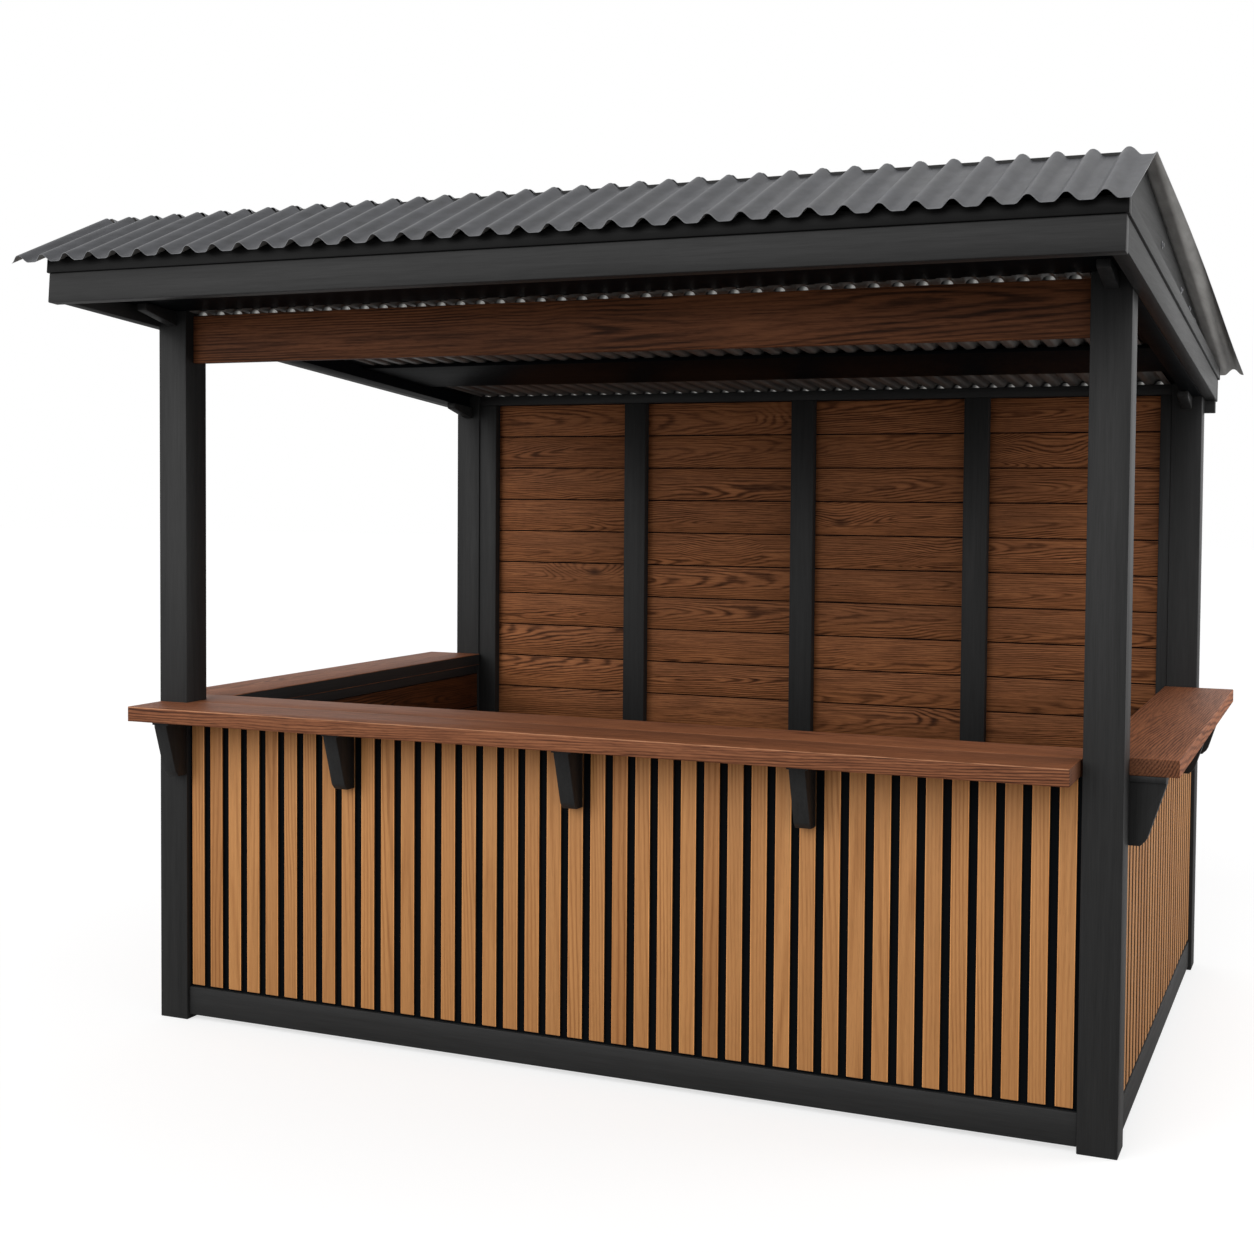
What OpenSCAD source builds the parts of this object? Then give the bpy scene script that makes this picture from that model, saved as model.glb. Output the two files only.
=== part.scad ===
// Wooden market stall: a black timber frame with slatted counters on three sides,
// a boarded back wall and a corrugated roof. Millimetres, front towards -Y, ground at z = 0.

/* [Frame] */
// Width over the outer faces of the posts
stall_w = 3000; // [2400:10:3600]
// Depth over the outer faces of the posts
stall_d = 2070; // [1600:10:2600]
// Side of the square posts
post_side = 104; // [80:1:120]
// Gap between the ground and the bottom rails
rail_lift = 15; // [5:1:40]
// Height of the bottom rails
rail_h = 90; // [60:1:120]
// Setback of the bottom rails behind the outer faces of the posts
rail_setback = 10; // [0:1:12]

/* [Counters] */
// Height of the counter tops above the ground
worktop_h = 1020; // [850:5:1150]
// Thickness of the counter boards
worktop_t = 46; // [30:1:60]
// Reach of the front counter past the front faces of the posts
front_worktop_out = 165; // [130:1:260]
// Reach of the front counter past the inner faces of the posts
front_worktop_in = 126; // [40:1:200]
// Reach of the side counters past the outer faces of the posts
side_worktop_out = 125; // [110:1:220]
// Reach of the side counters past the inner faces of the posts
side_worktop_in = 6; // [0:1:60]
// Gap between the front counter's right end and the post and counter there
worktop_gap = 6; // [2:1:20]
// Height of the rails under the counters
worktop_rail_h = 36; // [25:1:90]

/* [Lower walls] */
// Setback of the slats behind the outer faces of the posts
slat_setback = 12; // [5:1:20]
// Thickness of the slats
slat_t = 9; // [6:1:25]
// Spacing of the slats, before it is fitted to a whole number of them
slat_pitch = 70; // [50:1:100]
// Share of the spacing that a slat covers
slat_share = 0.67; // [0.5:0.01:0.8]
// Gap between the bottom rail and the slats
slat_lift = 8; // [4:1:20]
// Thickness of the black board behind the slats
backing_t = 12; // [8:1:16]
// Thickness of the boards on the inside of the lower walls
lining_t = 16; // [10:1:20]
// Setback of the lining from the inner faces of the posts
lining_setback = 6; // [2:1:10]

/* [Counter brackets] */
// Width of a bracket
bracket_w = 46; // [30:1:55]
// Height of a bracket
bracket_h = 184; // [120:1:240]
// Reach of a bracket at its top
bracket_top_out = 103; // [80:1:120]
// Reach of a bracket at its foot
bracket_foot_out = 56; // [30:1:70]
// Height of the straight edge at a bracket's top
bracket_lip = 22; // [10:1:40]
// Cut corner at a bracket's foot
bracket_chamfer = 16; // [4:1:25]
// Width of the plate on top of a bracket
bracket_plate_w = 62; // [56:1:80]
// Thickness of the plate on top of a bracket
bracket_plate_t = 16; // [4:1:20]
// Shares of the front's slats that stand left of each front bracket
front_bracket_shares = [0.21, 0.49, 0.74]; // [0:0.01:1]
// Share of a side's slats that stand in front of its middle bracket
side_bracket_share = 0.72; // [0.4:0.01:0.8]

/* [Back wall] */
// Width of the three studs between the bays
back_stud_w = 92; // [60:1:140]
// Width of the stud beside the left post
left_stud_w = 77; // [20:1:100]
// Width of the stud beside the right post
right_stud_w = 38; // [20:1:100]
// Distance of the first and third studs left of an even spacing
stud_shift = 15; // [0:1:40]
// Setback of the studs from both faces of the posts
stud_setback = 5; // [2:1:15]
// Thickness of the wall boards
back_board_t = 24; // [16:1:40]
// Height of the top rail at its outer face
back_rail_h = 30; // [20:1:90]

/* [Roof frame] */
// Fall of the roof frame towards the back, in degrees
roof_fall = 4.6; // [2:0.1:5]
// Height of the roof frame's lower edge at the front
eave_h = 2245; // [2180:1:2400]
// Reach of the roof frame past the front faces of the posts
front_eave_out = 460; // [300:5:500]
// Reach of the roof frame past the back faces of the posts
back_eave_out = 50; // [45:1:120]
// Thickness of the beams and barge rafters
beam_t = 40; // [30:1:44]
// Height of the front beam
beam_h = 87; // [70:1:110]
// Height of the barge rafters and the back beam, which end level with the front beam's top
barge_h = 80; // [50:1:85]
// Height of the trim strip on top of the beams
trim_h = 42; // [32:1:50]
// Width of the trim strip on top of the beams
trim_w = 41; // [40:1:50]
// Reach of the trim strip past the outer faces of the beams
trim_out = 6; // [0:1:7]
// Height of the ceiling sheet above the front beam's lower edge
ceiling_up = 53; // [45:1:60]
// Thickness of the soffit boards beside and in front of the ceiling sheet
soffit_t = 12; // [8:1:18]
// Width of the ribs under the side soffit boards
soffit_rib_w = 60; // [30:1:75]
// Thickness of the flat board under the ceiling sheet
ceiling_board_t = 12; // [8:1:20]
// Width of the flat board under the ceiling sheet
ceiling_board_w = 477; // [200:1:600]
// Distance of the flat board's front edge behind the middle of the stall
ceiling_board_y = 80; // [-100:5:300]
// Clearance between the ceiling sheet and the header board over the front opening
header_gap = 6; // [2:1:60]
// Height of the header board
header_h = 150; // [100:1:200]
// Thickness of the header board
header_t = 30; // [20:1:60]
// Height of the ledger behind the back posts, at its outer face
ledger_h = 42; // [20:1:70]
// Distance of the ledger's ends inside the roof frame
ledger_inset = 5; // [0:1:30]
// Reach of the knee brackets at the post tops
knee_out = 150; // [40:1:200]
// Height of the knee brackets on the posts' faces
knee_h = 45; // [35:1:120]
// Height of the knee brackets at their outer ends
knee_lip = 10; // [8:1:30]
// Width of the knee brackets
knee_w = 36; // [25:1:60]

/* [Roof sheets] */
// Distance of the ridge behind the roof frame's front
ridge_back = 370; // [300:5:600]
// Rise of the ridge above the front eave, at the underside of the sheets
ridge_rise = 156; // [120:1:240]
// Overhang of the sheets on the left
sheet_left_out = 110; // [40:1:120]
// Overhang of the sheets on the right, at the front eave
sheet_right_front_out = 12; // [0:1:120]
// Overhang of the sheets on the right, at the back eave
sheet_right_back_out = 80; // [0:1:120]
// Overhang of the front sheet at the eave
front_sheet_out = 34; // [20:1:80]
// Overhang of the back sheet at the eave
back_sheet_out = 104; // [60:1:160]
// Count of waves across the outer sheets
sheet_wave_count = 38; // [24:1:44]
// Depth of the waves of the outer sheets
wave_h = 23; // [18:1:30]
// Thickness of the sheets
sheet_t = 3; // [2:0.5:4]
// Count of waves across the ceiling sheet
ceiling_wave_count = 42; // [30:1:50]
// Depth of the waves of the ceiling sheet
ceiling_wave_h = 20; // [12:1:24]
// Clearance around the ceiling sheet
ceiling_gap = 5; // [3:1:15]
// Thickness of the gable boards
gable_t = 16; // [10:1:22]
// Setback of the gable boards behind the barge faces
gable_setback = 17; // [0:1:17]
// Width of the ridge beam
ridge_beam_w = 46; // [35:1:70]
// Height of the ridge beam
ridge_beam_h = 90; // [60:1:110]
// Height of the closure strip between the sheets at the ridge
closure_h = 8; // [6:1:18]
// Thickness of the closure strip at the ridge
closure_t = 10; // [6:1:14]

/* [Hidden] */
overrun = 4000;
left_x = -stall_w / 2;
right_x = stall_w / 2;
front_y = -stall_d / 2;
back_y = stall_d / 2;
front_clear = stall_w - 2 * post_side;
side_clear = stall_d - 2 * post_side;
rail_top = rail_lift + rail_h;
worktop_under = worktop_h - worktop_t;
lining_top = worktop_under - worktop_rail_h;
backing_y = slat_setback + slat_t;
cavity_y = backing_y + backing_t;
inner_y = post_side - lining_setback;
boards_left = left_stud_w - front_clear / 2;
boards_right = front_clear / 2 - right_stud_w;
bay_step = (boards_right - boards_left + back_stud_w) / 4;

roof_front_y = front_y - front_eave_out;
roof_back_y = back_y + back_eave_out;
roof_half_w = stall_w / 2 + beam_t;
roof_len = (roof_back_y - roof_front_y) / cos(roof_fall);
trim_top = beam_h + trim_h;
trim_half_w = roof_half_w + trim_out;
barge_up = beam_h - barge_h;

// Height of a plane in the roof frame, up from its lower face, at a place between front and back
function roof_plane_at(y, up) = eave_h - (y - roof_front_y) * tan(roof_fall) + up / cos(roof_fall);

// A place along the roof frame and up from its lower face, in the Y-Z plane
function roof_corner(along, up) =
  [roof_front_y, eave_h] + along * [cos(roof_fall), -sin(roof_fall)] + up * [sin(roof_fall), cos(roof_fall)];

// Distance along the roof frame to a place between front and back
function along_at(y) = (y - roof_front_y) / cos(roof_fall);

header_front = front_y + (post_side - header_t) / 2;
header_top = roof_plane_at(header_front + header_t, ceiling_up) - header_gap;
back_board_top = roof_plane_at(back_y - stud_setback, ceiling_up) - back_rail_h;
ledger_bottom = roof_plane_at(back_y + beam_t, barge_up) - ledger_h;

// Corners of the gable in the Y-Z plane, at the underside of the sheets
eave_point = roof_corner(-trim_out, trim_top);
ridge_point = [roof_front_y + ridge_back, eave_point.y + ridge_rise];
rear_point = roof_corner(roof_len + trim_out, trim_top);
front_run = ridge_point - eave_point;
back_run = rear_point - ridge_point;
front_pitch = atan2(front_run.y, front_run.x);
back_pitch = atan2(-back_run.y, back_run.x);
ridge_gap = closure_t / 2 / cos(front_pitch);

// Shares of one wave: where the crest starts and ends, and where the valley starts
wave_shares = [0.25, 0.45, 0.7];

// Reach of the sheets along their slopes, and the box around the whole stall
front_sheet_len = norm(front_run) + front_sheet_out;
back_sheet_len = norm(back_run) + back_sheet_out;
box_left = min(-roof_half_w - sheet_left_out, left_x - side_worktop_out);
sheet_right_x = roof_half_w + max(sheet_right_front_out, sheet_right_back_out);
// Spare width of the sheets, which the right edge is cut from
edge_spare = 20;
box_right = max(sheet_right_x, right_x + side_worktop_out);
box_front = ridge_point.x - front_sheet_len * cos(front_pitch) - wave_h * sin(front_pitch);
box_back = ridge_point.x + back_sheet_len * cos(back_pitch) + wave_h * sin(back_pitch);

// The right edge of the sheets runs slightly out of square from the front eave to the back one
function sheet_edge_x(y) = roof_half_w + sheet_right_front_out
  + (sheet_right_back_out - sheet_right_front_out) * (y - box_front) / (box_back - box_front);

frame_colour = [0.06, 0.06, 0.065];
walnut_colour = [0.36, 0.21, 0.13];
slat_colour = [0.66, 0.45, 0.27];
sheet_colour = [0.30, 0.31, 0.33];

// Puts the origin under the middle of the box around the stall
module placed() translate([-(box_left + box_right) / 2, -(box_front + box_back) / 2, 0]) children();

// Places: each wall has x along it, y inwards from the posts' outer faces
module on_front() translate([0, front_y, 0]) children();
module on_back() translate([0, back_y, 0]) rotate([0, 0, 180]) children();
module on_left() translate([left_x, 0, 0]) rotate([0, 0, -90]) children();
module on_right() translate([right_x, 0, 0]) rotate([0, 0, 90]) children();

// The roof frame has y along its fall from the front, z from its lower face
module on_roof_frame() translate([0, roof_front_y, eave_h]) rotate([-roof_fall, 0, 0]) children();

// Cuts off what stands above a height in the roof frame
module cut_under_roof(height) {
  difference() {
    children();
    on_roof_frame() translate([-overrun, -overrun, height]) cube(2 * overrun);
  }
}

// Shapes that repeat
module outline_along_x(x_start, x_length, points) {
  translate([x_start, 0, 0]) rotate([90, 0, 90]) linear_extrude(height = x_length) polygon(points);
}

module post(x, y) {
  color(frame_colour) cut_under_roof(beam_h) translate([x, y, 0]) cube([post_side, post_side, 2 * eave_h]);
}

module wall_layer(clear, y_start, y_end, z_start, z_end) {
  translate([-clear / 2, y_start, z_start]) cube([clear, y_end - y_start, z_end - z_start]);
}

module bottom_rail(clear) color(frame_colour) wall_layer(clear, rail_setback, inner_y, rail_lift, rail_top);

module counter_rail(clear) {
  color(frame_colour) wall_layer(clear, cavity_y, inner_y, lining_top, worktop_under);
}

module backing(clear) color(frame_colour) wall_layer(clear, backing_y, cavity_y, rail_top, worktop_under);

module lining(clear) {
  color(walnut_colour) wall_layer(clear, inner_y - lining_t, inner_y, rail_top, lining_top);
}

function slat_count(clear) = round(clear / slat_pitch);
function slat_centre(clear, index) = clear * ((index + 1 / 2) / slat_count(clear) - 1 / 2);

module slats(clear) {
  slat_w = clear / slat_count(clear) * slat_share;
  color(slat_colour)
    for (index = [0 : slat_count(clear) - 1])
      translate([slat_centre(clear, index), 0, 0])
        wall_layer(slat_w, slat_setback, backing_y, rail_top + slat_lift, worktop_under);
}

// A counter bracket whose back stands some way behind the posts' outer faces
module bracket(setback) {
  side_view = [
    [0, 0],
    [-bracket_top_out, 0],
    [-bracket_top_out, -bracket_lip],
    [-bracket_foot_out, bracket_chamfer - bracket_h],
    [bracket_chamfer - bracket_foot_out, -bracket_h],
    [0, -bracket_h]
  ];
  color(frame_colour) translate([0, setback, worktop_under]) {
    outline_along_x(-bracket_w / 2, bracket_w, side_view);
    translate([-bracket_plate_w / 2, -bracket_top_out, -bracket_plate_t])
      cube([bracket_plate_w, bracket_top_out, bracket_plate_t]);
  }
}

// Places of the end brackets, whose plates touch the posts
function bracket_end(clear) = (clear - bracket_plate_w) / 2;

// Backwards is 1 where a side wall's x runs towards the back of the stall, and -1 where it runs forwards
module side_brackets(backwards) {
  middle = slat_centre(side_clear, floor(slat_count(side_clear) * side_bracket_share));
  for (x = [-bracket_end(side_clear), backwards * middle, bracket_end(side_clear)])
    translate([x, 0, 0]) bracket(slat_setback);
}

// A knee bracket on a post's front face, under a height in the roof frame
module knee_bracket(x, y, up) {
  outline = [[0, 0], [-knee_out, knee_h - knee_lip], [-knee_out, 2 * knee_h], [0, 2 * knee_h]];
  color(frame_colour) cut_under_roof(up)
    translate([0, y, roof_plane_at(y, up) - knee_h]) outline_along_x(x, knee_w, outline);
}

// A board along the roof's fall between two heights in the roof frame, with plumb ends
module roof_board(x_span, y_span, up_span) {
  outline = [
    for (up = up_span) [y_span[0], roof_plane_at(y_span[0], up)],
    for (up = [up_span[1], up_span[0]]) [y_span[1], roof_plane_at(y_span[1], up)]
  ];
  color(frame_colour) outline_along_x(x_span[0], x_span[1] - x_span[0], outline);
}

module roof_beam(along, up, height) {
  color(frame_colour) on_roof_frame()
    translate([-roof_half_w, along, up]) cube([2 * roof_half_w, beam_t, height]);
}

module barge_rafter(x) {
  color(frame_colour) on_roof_frame()
    translate([x, beam_t, barge_up]) cube([beam_t, roof_len - 2 * beam_t, barge_h]);
}

// Corrugated sheet that runs along +y from the origin, with its valleys on z = 0
function wave_points(x_start, x_end, waves, depth) =
  let (pitch = (x_end - x_start) / waves)
  concat([[x_start, 0]], [
    for (wave = [0 : waves - 1], step = [0 : 3])
      [
        x_start + pitch * (wave + concat(wave_shares, [1])[step]),
        (step < 2) ? depth - sheet_t : 0
      ]
  ]);

module corrugated_sheet(x_start, x_end, waves, depth, sheet_len) {
  under = wave_points(x_start, x_end, waves, depth);
  upper = [for (index = [len(under) - 1 : -1 : 0]) under[index] + [0, sheet_t]];
  color(sheet_colour) translate([0, sheet_len, 0]) rotate([90, 0, 0])
    linear_extrude(height = sheet_len) polygon(concat(under, upper));
}

// Sub-parts
module post_front_left() post(left_x, front_y);
module post_front_right() post(right_x - post_side, front_y);
module post_back_left() post(left_x, back_y - post_side);
module post_back_right() post(right_x - post_side, back_y - post_side);

module bottom_rail_front() on_front() bottom_rail(front_clear);
module bottom_rail_left() on_left() bottom_rail(side_clear);
module bottom_rail_right() on_right() bottom_rail(side_clear);
module bottom_rail_back() on_back() bottom_rail(front_clear);

module counter_rail_front() on_front() counter_rail(front_clear);
module counter_rail_left() on_left() counter_rail(side_clear);
module counter_rail_right() on_right() counter_rail(side_clear);

module backing_front() on_front() backing(front_clear);
module backing_left() on_left() backing(side_clear);
module backing_right() on_right() backing(side_clear);

module slats_front() on_front() slats(front_clear);
module slats_left() on_left() slats(side_clear);
module slats_right() on_right() slats(side_clear);

module lining_front() on_front() lining(front_clear);
module lining_left() on_left() lining(side_clear);
module lining_right() on_right() lining(side_clear);

// The front counter wraps round its left post and stops at the right one and the right counter
module counter_front() {
  worktop_d = front_worktop_out + post_side + front_worktop_in;
  right_counter_x = right_x - post_side - side_worktop_in;
  color(walnut_colour) difference() {
    translate([left_x, front_y - front_worktop_out, worktop_under])
      cube([stall_w - post_side - worktop_gap, worktop_d, worktop_t]);
    translate([left_x, front_y, 0]) cube([post_side, post_side, eave_h]);
    translate([right_counter_x - worktop_gap, front_y + post_side, 0]) cube([stall_w, stall_d, eave_h]);
  }
}

module side_counter(worktop_len) {
  color(walnut_colour) wall_layer(worktop_len, -side_worktop_out, post_side + side_worktop_in,
    worktop_under, worktop_h);
}

// The left counter starts behind the front counter, the right one at its front post
module counter_left() {
  on_left() translate([-front_worktop_in / 2, 0, 0]) side_counter(side_clear - front_worktop_in);
}

module counter_right() on_right() side_counter(side_clear);

// The first front bracket stands on the left post, flush with its inner face, the others on slats
module brackets_front() {
  on_front() {
    translate([-(front_clear + bracket_w) / 2, 0, 0]) bracket(0);
    for (share = front_bracket_shares) {
      index = floor(slat_count(front_clear) * share);
      translate([slat_centre(front_clear, index), 0, 0]) bracket(slat_setback);
    }
  }
}

module brackets_left() on_left() side_brackets(-1);
module brackets_right() on_right() side_brackets(1);

// The back wall's layers keep the x of the stall, and y runs inwards from the back face
module back_layer(x_start, x_end, y_start, y_end) {
  translate([x_start, back_y - y_end, rail_top])
    cube([x_end - x_start, y_end - y_start, back_board_top - rail_top]);
}

// Right face of the stud at the left of a bay
function stud_right(bay) = boards_left + bay * bay_step - (bay % 2) * stud_shift;

module back_studs() {
  stud_end = post_side - stud_setback;
  color(frame_colour) {
    for (bay = [1 : 3]) back_layer(stud_right(bay) - back_stud_w, stud_right(bay), stud_setback, stud_end);
    back_layer(-front_clear / 2, boards_left, stud_setback, stud_end);
    back_layer(boards_right, front_clear / 2, stud_setback, stud_end);
  }
}

module back_boards() {
  board_y = (post_side - back_board_t) / 2;
  color(walnut_colour)
    for (bay = [0 : 3])
      back_layer(stud_right(bay), stud_right(bay + 1) - back_stud_w, board_y, board_y + back_board_t);
}

module back_top_rail() {
  color(frame_colour) cut_under_roof(ceiling_up) on_back()
    wall_layer(front_clear, stud_setback, post_side - stud_setback, back_board_top, 2 * eave_h);
}

module header_board() {
  color(walnut_colour) translate([-front_clear / 2, header_front, header_top - header_h])
    cube([front_clear, header_t, header_h]);
}

// A board in front of the posts, and one with a rib under it on each side between the posts
module soffit_boards() {
  soffit_top = ceiling_up + soffit_t;
  side_y = [-side_clear / 2, side_clear / 2];
  roof_board([left_x, right_x], [roof_corner(beam_t, soffit_top).x, front_y], [ceiling_up, soffit_top]);
  roof_board([left_x, left_x + post_side], side_y, [ceiling_up, soffit_top]);
  roof_board([left_x, left_x + soffit_rib_w], side_y, [barge_up, ceiling_up]);
  roof_board([right_x - post_side, right_x], side_y, [ceiling_up, soffit_top]);
  roof_board([right_x - soffit_rib_w, right_x], side_y, [barge_up, ceiling_up]);
}

module knee_brackets() {
  post_mid = (stall_w - post_side) / 2;
  for (side = [-1, 1]) {
    knee_bracket(side * post_mid - knee_w / 2, front_y, ceiling_up);
    knee_bracket(side * post_mid - knee_w / 2, back_y - post_side, barge_up);
  }
}

module roof_beam_front() roof_beam(0, 0, beam_h);
module roof_beam_back() roof_beam(roof_len - beam_t, barge_up, barge_h);
module barge_rafter_left() barge_rafter(left_x - beam_t);
module barge_rafter_right() barge_rafter(right_x);

module roof_trim(x, along, trim_size) {
  color(frame_colour) on_roof_frame() translate([x, along, beam_h]) cube(concat(trim_size, [trim_h]));
}

module roof_trim_ends() {
  for (along = [-trim_out, roof_len + trim_out - trim_w])
    roof_trim(-trim_half_w, along, [2 * trim_half_w, trim_w]);
}

module roof_trim_sides() {
  trim_start = trim_w - trim_out;
  for (x = [-trim_half_w, trim_half_w - trim_w])
    roof_trim(x, trim_start, [trim_w, roof_len - 2 * trim_start]);
}

module rear_ledger() {
  ledger_half_w = roof_half_w - ledger_inset;
  color(frame_colour) cut_under_roof(barge_up)
    translate([-ledger_half_w, back_y, ledger_bottom])
      cube([2 * ledger_half_w, beam_t, ledger_h + beam_t]);
}

module gable_boards() {
  gable_x = roof_half_w - gable_setback;
  for (x = [-gable_x, gable_x - gable_t])
    color(frame_colour) outline_along_x(x, gable_t, [eave_point, ridge_point, rear_point]);
}

// The ridge beam has a peaked top and a closure strip that stands between the sheets
module ridge_beam() {
  beam_half_len = roof_half_w - gable_setback - gable_t;
  half_w = ridge_beam_w / 2;
  half_t = closure_t / 2;
  peak = [
    [-half_w, -ridge_beam_h], [half_w, -ridge_beam_h],
    [half_w, -half_w * tan(back_pitch)], [half_t, -half_t * tan(back_pitch)],
    [half_t, closure_h], [-half_t, closure_h],
    [-half_t, -half_t * tan(front_pitch)], [-half_w, -half_w * tan(front_pitch)]
  ];
  color(frame_colour)
    outline_along_x(-beam_half_len, 2 * beam_half_len, [for (point = peak) ridge_point + point]);
}

module ceiling_board() {
  board_half_w = stall_w / 2 - soffit_rib_w;
  roof_board([-board_half_w, board_half_w], [ceiling_board_y, ceiling_board_y + ceiling_board_w],
    [ceiling_up - ceiling_board_t, ceiling_up]);
}

module ceiling_sheet() {
  sheet_half_w = front_clear / 2 - ceiling_gap;
  sheet_start = along_at(front_y + ceiling_gap);
  sheet_end = along_at(back_y - stud_setback);
  on_roof_frame() translate([0, sheet_start, ceiling_up])
    corrugated_sheet(-sheet_half_w, sheet_half_w, ceiling_wave_count, ceiling_wave_h,
      sheet_end - sheet_start);
}

module roof_slope(pitch, sheet_len) {
  translate([0, 0, ridge_point.y]) rotate([-pitch, 0, 0]) translate([0, ridge_gap, 0])
    corrugated_sheet(-roof_half_w - sheet_left_out, sheet_right_x + edge_spare, sheet_wave_count, wave_h,
      sheet_len - ridge_gap);
}

// Cuts a sheet along the slanted right edge
module cut_right_edge() {
  beyond = [
    [sheet_edge_x(-overrun), -overrun], [overrun, -overrun],
    [overrun, overrun], [sheet_edge_x(overrun), overrun]
  ];
  difference() {
    children();
    linear_extrude(height = overrun) polygon(beyond);
  }
}

module front_roof_sheet() {
  cut_right_edge() translate([0, ridge_point.x, 0]) mirror([0, 1, 0])
    roof_slope(front_pitch, front_sheet_len);
}

module back_roof_sheet() {
  cut_right_edge() translate([0, ridge_point.x, 0]) roof_slope(back_pitch, back_sheet_len);
}

placed() post_front_left();
placed() post_front_right();
placed() post_back_left();
placed() post_back_right();
placed() bottom_rail_front();
placed() bottom_rail_left();
placed() bottom_rail_right();
placed() bottom_rail_back();
placed() counter_rail_front();
placed() counter_rail_left();
placed() counter_rail_right();
placed() backing_front();
placed() backing_left();
placed() backing_right();
placed() slats_front();
placed() slats_left();
placed() slats_right();
placed() lining_front();
placed() lining_left();
placed() lining_right();
placed() counter_front();
placed() counter_left();
placed() counter_right();
placed() brackets_front();
placed() brackets_left();
placed() brackets_right();
placed() back_studs();
placed() back_boards();
placed() back_top_rail();
placed() header_board();
placed() soffit_boards();
placed() knee_brackets();
placed() roof_beam_front();
placed() roof_beam_back();
placed() barge_rafter_left();
placed() barge_rafter_right();
placed() roof_trim_ends();
placed() roof_trim_sides();
placed() rear_ledger();
placed() gable_boards();
placed() ridge_beam();
placed() ceiling_board();
placed() ceiling_sheet();
placed() front_roof_sheet();
placed() back_roof_sheet();
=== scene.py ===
import math
import random

import bpy
from mathutils import Matrix, Vector


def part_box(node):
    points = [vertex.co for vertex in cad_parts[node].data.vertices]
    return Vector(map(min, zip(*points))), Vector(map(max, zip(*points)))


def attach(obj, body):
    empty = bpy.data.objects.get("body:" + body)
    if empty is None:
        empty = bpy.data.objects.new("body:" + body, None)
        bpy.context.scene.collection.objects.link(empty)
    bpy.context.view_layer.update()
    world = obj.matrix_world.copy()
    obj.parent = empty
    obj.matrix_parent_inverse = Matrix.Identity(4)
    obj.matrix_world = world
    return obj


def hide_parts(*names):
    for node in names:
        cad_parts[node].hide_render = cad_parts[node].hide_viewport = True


# Looks of the market stall: black timber frame, walnut counters and boards, slats, corrugated roof
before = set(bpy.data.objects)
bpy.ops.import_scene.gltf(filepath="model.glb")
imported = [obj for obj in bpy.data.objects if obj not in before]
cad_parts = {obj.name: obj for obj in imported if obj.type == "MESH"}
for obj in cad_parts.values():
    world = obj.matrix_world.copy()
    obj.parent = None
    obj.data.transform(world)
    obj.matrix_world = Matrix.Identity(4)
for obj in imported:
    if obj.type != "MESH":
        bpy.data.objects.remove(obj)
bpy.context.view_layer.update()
bpy.ops.object.select_all(action="DESELECT")
stallMiddle = (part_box("post_front_left")[0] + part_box("post_back_right")[1]) / 2
print("frame loaded:", len(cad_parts), "nodes")

modelling = {
    "mergeGap": 0.00002,   # metres, joins the loose triangles of a CAD copy
    "flatAngle": 0.5,      # degrees, faces flatter than this become one
    "smoothAngle": 40,     # degrees, sharper edges stay crisp
    "snap": 0.0005,        # metres, tells which edges lie on a face
    "alongShare": 0.9,     # an edge that runs this far along an axis counts as parallel to it
}


# Small tools for modelling

def pick(piece):
    bpy.ops.object.select_all(action="DESELECT")
    piece.select_set(True)
    bpy.context.view_layer.objects.active = piece


def addBox(low, high):  # a cube added at its size and place
    low, high = Vector(low), Vector(high)
    bpy.ops.object.select_all(action="DESELECT")
    bpy.ops.mesh.primitive_cube_add(size=1, location=(low + high) / 2, scale=high - low)
    bpy.ops.object.transform_apply(location=True, rotation=True, scale=True)
    return bpy.context.active_object


def nodeCopy(node):  # a merged copy of a CAD node, as the start of a dressed piece
    piece = bpy.data.objects.new("copy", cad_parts[node].data.copy())
    bpy.context.scene.collection.objects.link(piece)
    piece.data.materials.clear()
    pick(piece)
    bpy.ops.mesh.customdata_custom_splitnormals_clear()
    bpy.ops.object.mode_set(mode="EDIT")
    bpy.ops.mesh.select_all(action="SELECT")
    bpy.ops.mesh.remove_doubles(threshold=modelling["mergeGap"])
    bpy.ops.mesh.dissolve_limited(angle_limit=math.radians(modelling["flatAngle"]))
    bpy.ops.object.mode_set(mode="OBJECT")
    return piece


def softenEdges(piece, wide, steps=2, test=None):  # bevels all edges, or those that the test picks
    pick(piece)
    bpy.ops.object.mode_set(mode="EDIT")
    bpy.ops.mesh.select_mode(type="EDGE")
    bpy.ops.mesh.select_all(action="DESELECT")
    bpy.ops.object.mode_set(mode="OBJECT")
    corners = piece.data.vertices
    for edge in piece.data.edges:
        start, end = (corners[i].co for i in edge.vertices)
        edge.select = test is None or test(end - start, (start + end) / 2)
    bpy.ops.object.mode_set(mode="EDIT")
    bpy.ops.mesh.bevel(offset=wide, segments=steps, affect="EDGES")
    bpy.ops.object.mode_set(mode="OBJECT")


def cutAway(piece, spot, outward):  # drops what lies on the outer side of a plane and closes the cut
    pick(piece)
    bpy.ops.object.mode_set(mode="EDIT")
    bpy.ops.mesh.select_all(action="SELECT")
    facing = Vector(outward).normalized()
    bpy.ops.mesh.bisect(plane_co=spot, plane_no=facing, use_fill=True, clear_outer=True)
    bpy.ops.object.mode_set(mode="OBJECT")


def copyMoved(piece, move):  # each copy has its own mesh
    twin = bpy.data.objects.new(piece.name, piece.data.copy())
    twin.data.transform(Matrix.Translation(move))
    bpy.context.scene.collection.objects.link(twin)
    return twin


def joinAll(pieces):
    pick(pieces[0])
    for piece in pieces[1:]:
        piece.select_set(True)
    if len(pieces) > 1:
        bpy.ops.object.join()
    return pieces[0]


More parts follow.
